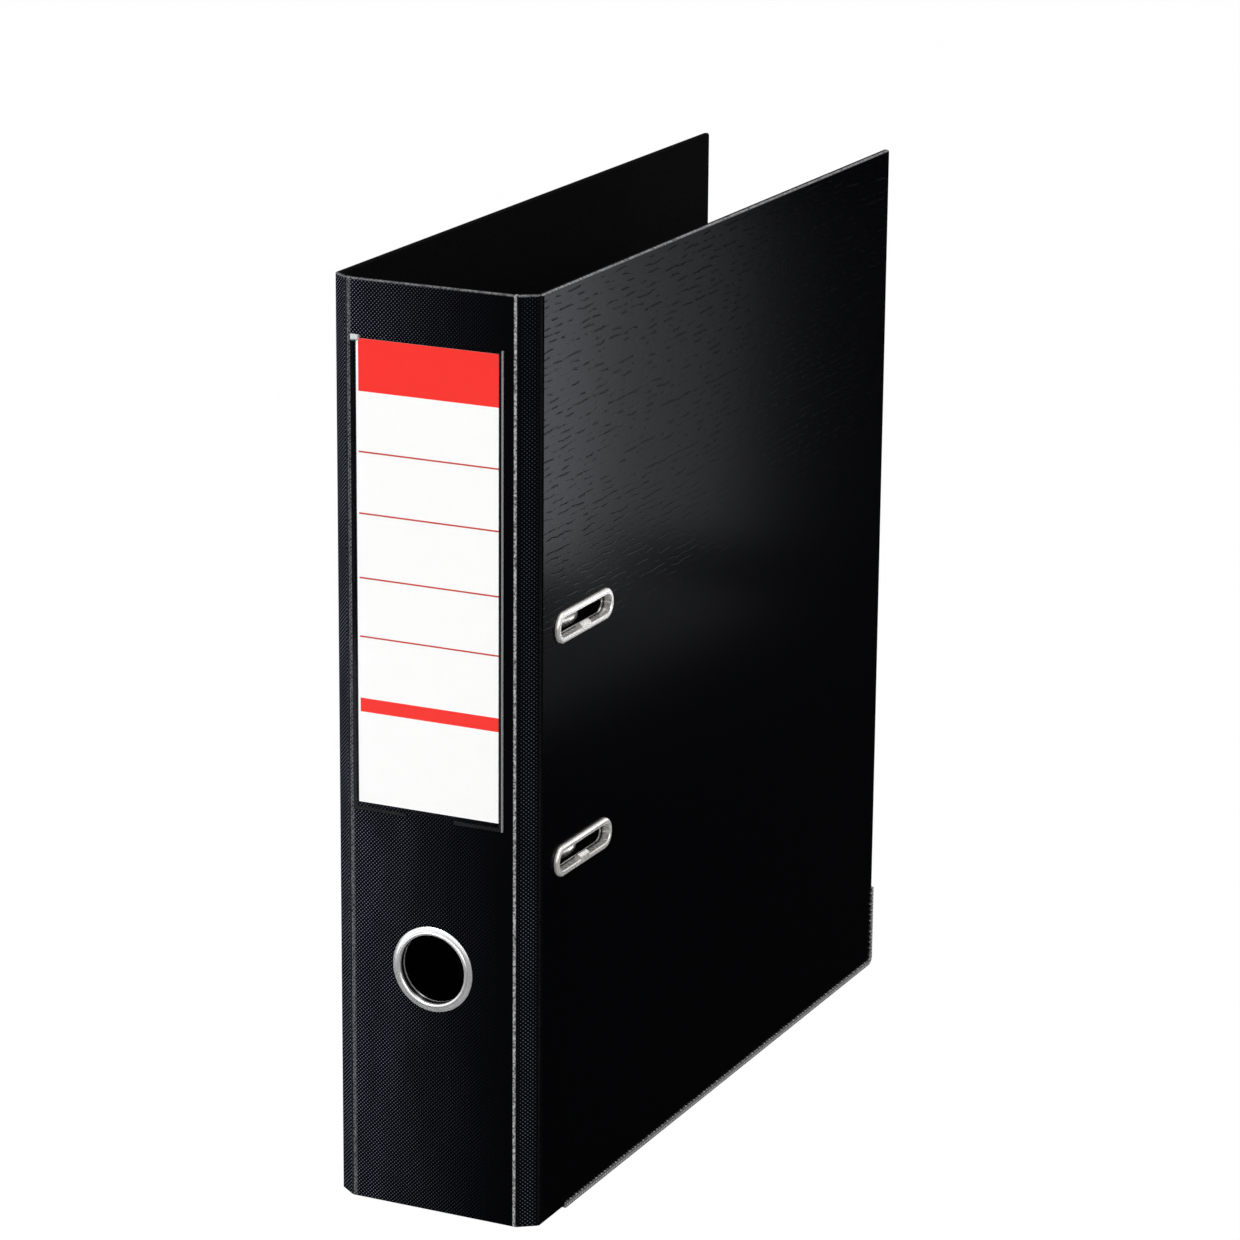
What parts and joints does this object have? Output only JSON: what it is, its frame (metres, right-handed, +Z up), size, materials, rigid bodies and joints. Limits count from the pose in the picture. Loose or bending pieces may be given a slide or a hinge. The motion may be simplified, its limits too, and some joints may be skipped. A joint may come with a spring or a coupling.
{
  "type": "lever arch file",
  "caption": "Upright board file with creased spine, finger ring, spine label pocket and a lever arch mechanism for punched sheets.",
  "frame": {"origin": "bottom centre of the closed file's box, on the surface it stands on", "axes": "+Z up along the spine; the spine faces -Y; the front cover, with the two slots, faces +X and the back cover -X"},
  "size_m": [0.0776, 0.2914, 0.318],
  "materials": {
    "covered_board": "grey board in black embossed polypropylene foil",
    "guard_steel": "pressed zinc-plated strip",
    "nickel_eyelets": "bright nickel plate",
    "clear_film": "clear welded film",
    "label_card": "white card with red printed bands and rules",
    "nickel_mechanism": "nickel plate"
  },
  "bodies": {
    "spine": {"spine_board": "covered_board", "finger_ring": "nickel_eyelets", "finger_ring_washer": "nickel_eyelets", "label_pocket": "clear_film"},
    "label": {"spine_label": "label_card"},
    "front_strip": {"front_hinge_strip": "covered_board"},
    "front_cover": {"front_cover_board": "covered_board", "upper_slot_eyelet": "nickel_eyelets", "lower_slot_eyelet": "nickel_eyelets", "upper_slot_washer": "nickel_eyelets", "lower_slot_washer": "nickel_eyelets", "front_edge_guard": "guard_steel"},
    "back_strip": {"back_hinge_strip": "covered_board"},
    "back_cover": {"back_cover_board": "covered_board", "back_edge_guard": "guard_steel", "base_plate": "nickel_mechanism", "upper_post": "nickel_mechanism", "lower_post": "nickel_mechanism", "mechanism_rivets": "nickel_eyelets", "lever_pin": "nickel_mechanism"},
    "arch": {"arch_wire": "nickel_mechanism"},
    "lever": {"lever": "nickel_mechanism", "roller_pin": "nickel_mechanism"},
    "roller": {"roller": "nickel_mechanism"},
    "compressor": {"compressor_bar": "nickel_mechanism", "compressor_clips": "nickel_mechanism"}
  },
  "joints": [
    {"name": "front_cover_fold", "type": "hinge", "parent": "front_strip", "child": "front_cover", "pos_m": [0.0375, -0.14005, 0.159], "axis": [0, 0, -1], "range_deg": [0, 53.48]},
    {"name": "front_strip_fold", "type": "hinge", "parent": "spine", "child": "front_strip", "pos_m": [0.031, -0.1448, 0.159], "axis": [0, 0, -1], "range_deg": [0, 35.92]},
    {"name": "back_cover_fold", "type": "hinge", "parent": "back_strip", "child": "back_cover", "pos_m": [-0.0375, -0.14005, 0.159], "axis": [0, 0, 1], "range_deg": [0, 53.48]},
    {"name": "back_strip_fold", "type": "hinge", "parent": "spine", "child": "back_strip", "pos_m": [-0.031, -0.1448, 0.159], "axis": [0, 0, 1], "range_deg": [0, 35.92]},
    {"name": "label_slide", "type": "slide", "parent": "spine", "child": "label", "axis": [0, 0, 1], "range_m": [0, 0.15]},
    {"name": "lever_swing", "type": "hinge", "parent": "back_cover", "child": "lever", "pos_m": [-0.0263, -0.1083, 0.1905], "axis": [0, -1, 0], "range_deg": [0, 70]},
    {"name": "arch_swing", "type": "hinge", "parent": "back_cover", "child": "arch", "pos_m": [-0.0319, -0.1208, 0.1625], "axis": [0, 0, -1], "range_deg": [0, 23]},
    {"name": "roller_spin", "type": "hinge", "parent": "lever", "child": "roller", "pos_m": [-0.0262, -0.1083, 0.1769], "axis": [0, 1, 0], "continuous": true},
    {"name": "compressor_slide", "type": "slide", "parent": "back_cover", "child": "compressor", "axis": [1, 0, 0], "range_m": [0, 0.034]}
  ],
  "couplings": [
    {"joint": "front_strip_fold", "follows": "front_cover_fold", "ratio": 0.67156},
    {"joint": "back_strip_fold", "follows": "back_cover_fold", "ratio": 0.67156},
    {"joint": "arch_swing", "follows": "lever_swing", "ratio": 0.32857}
  ]
}
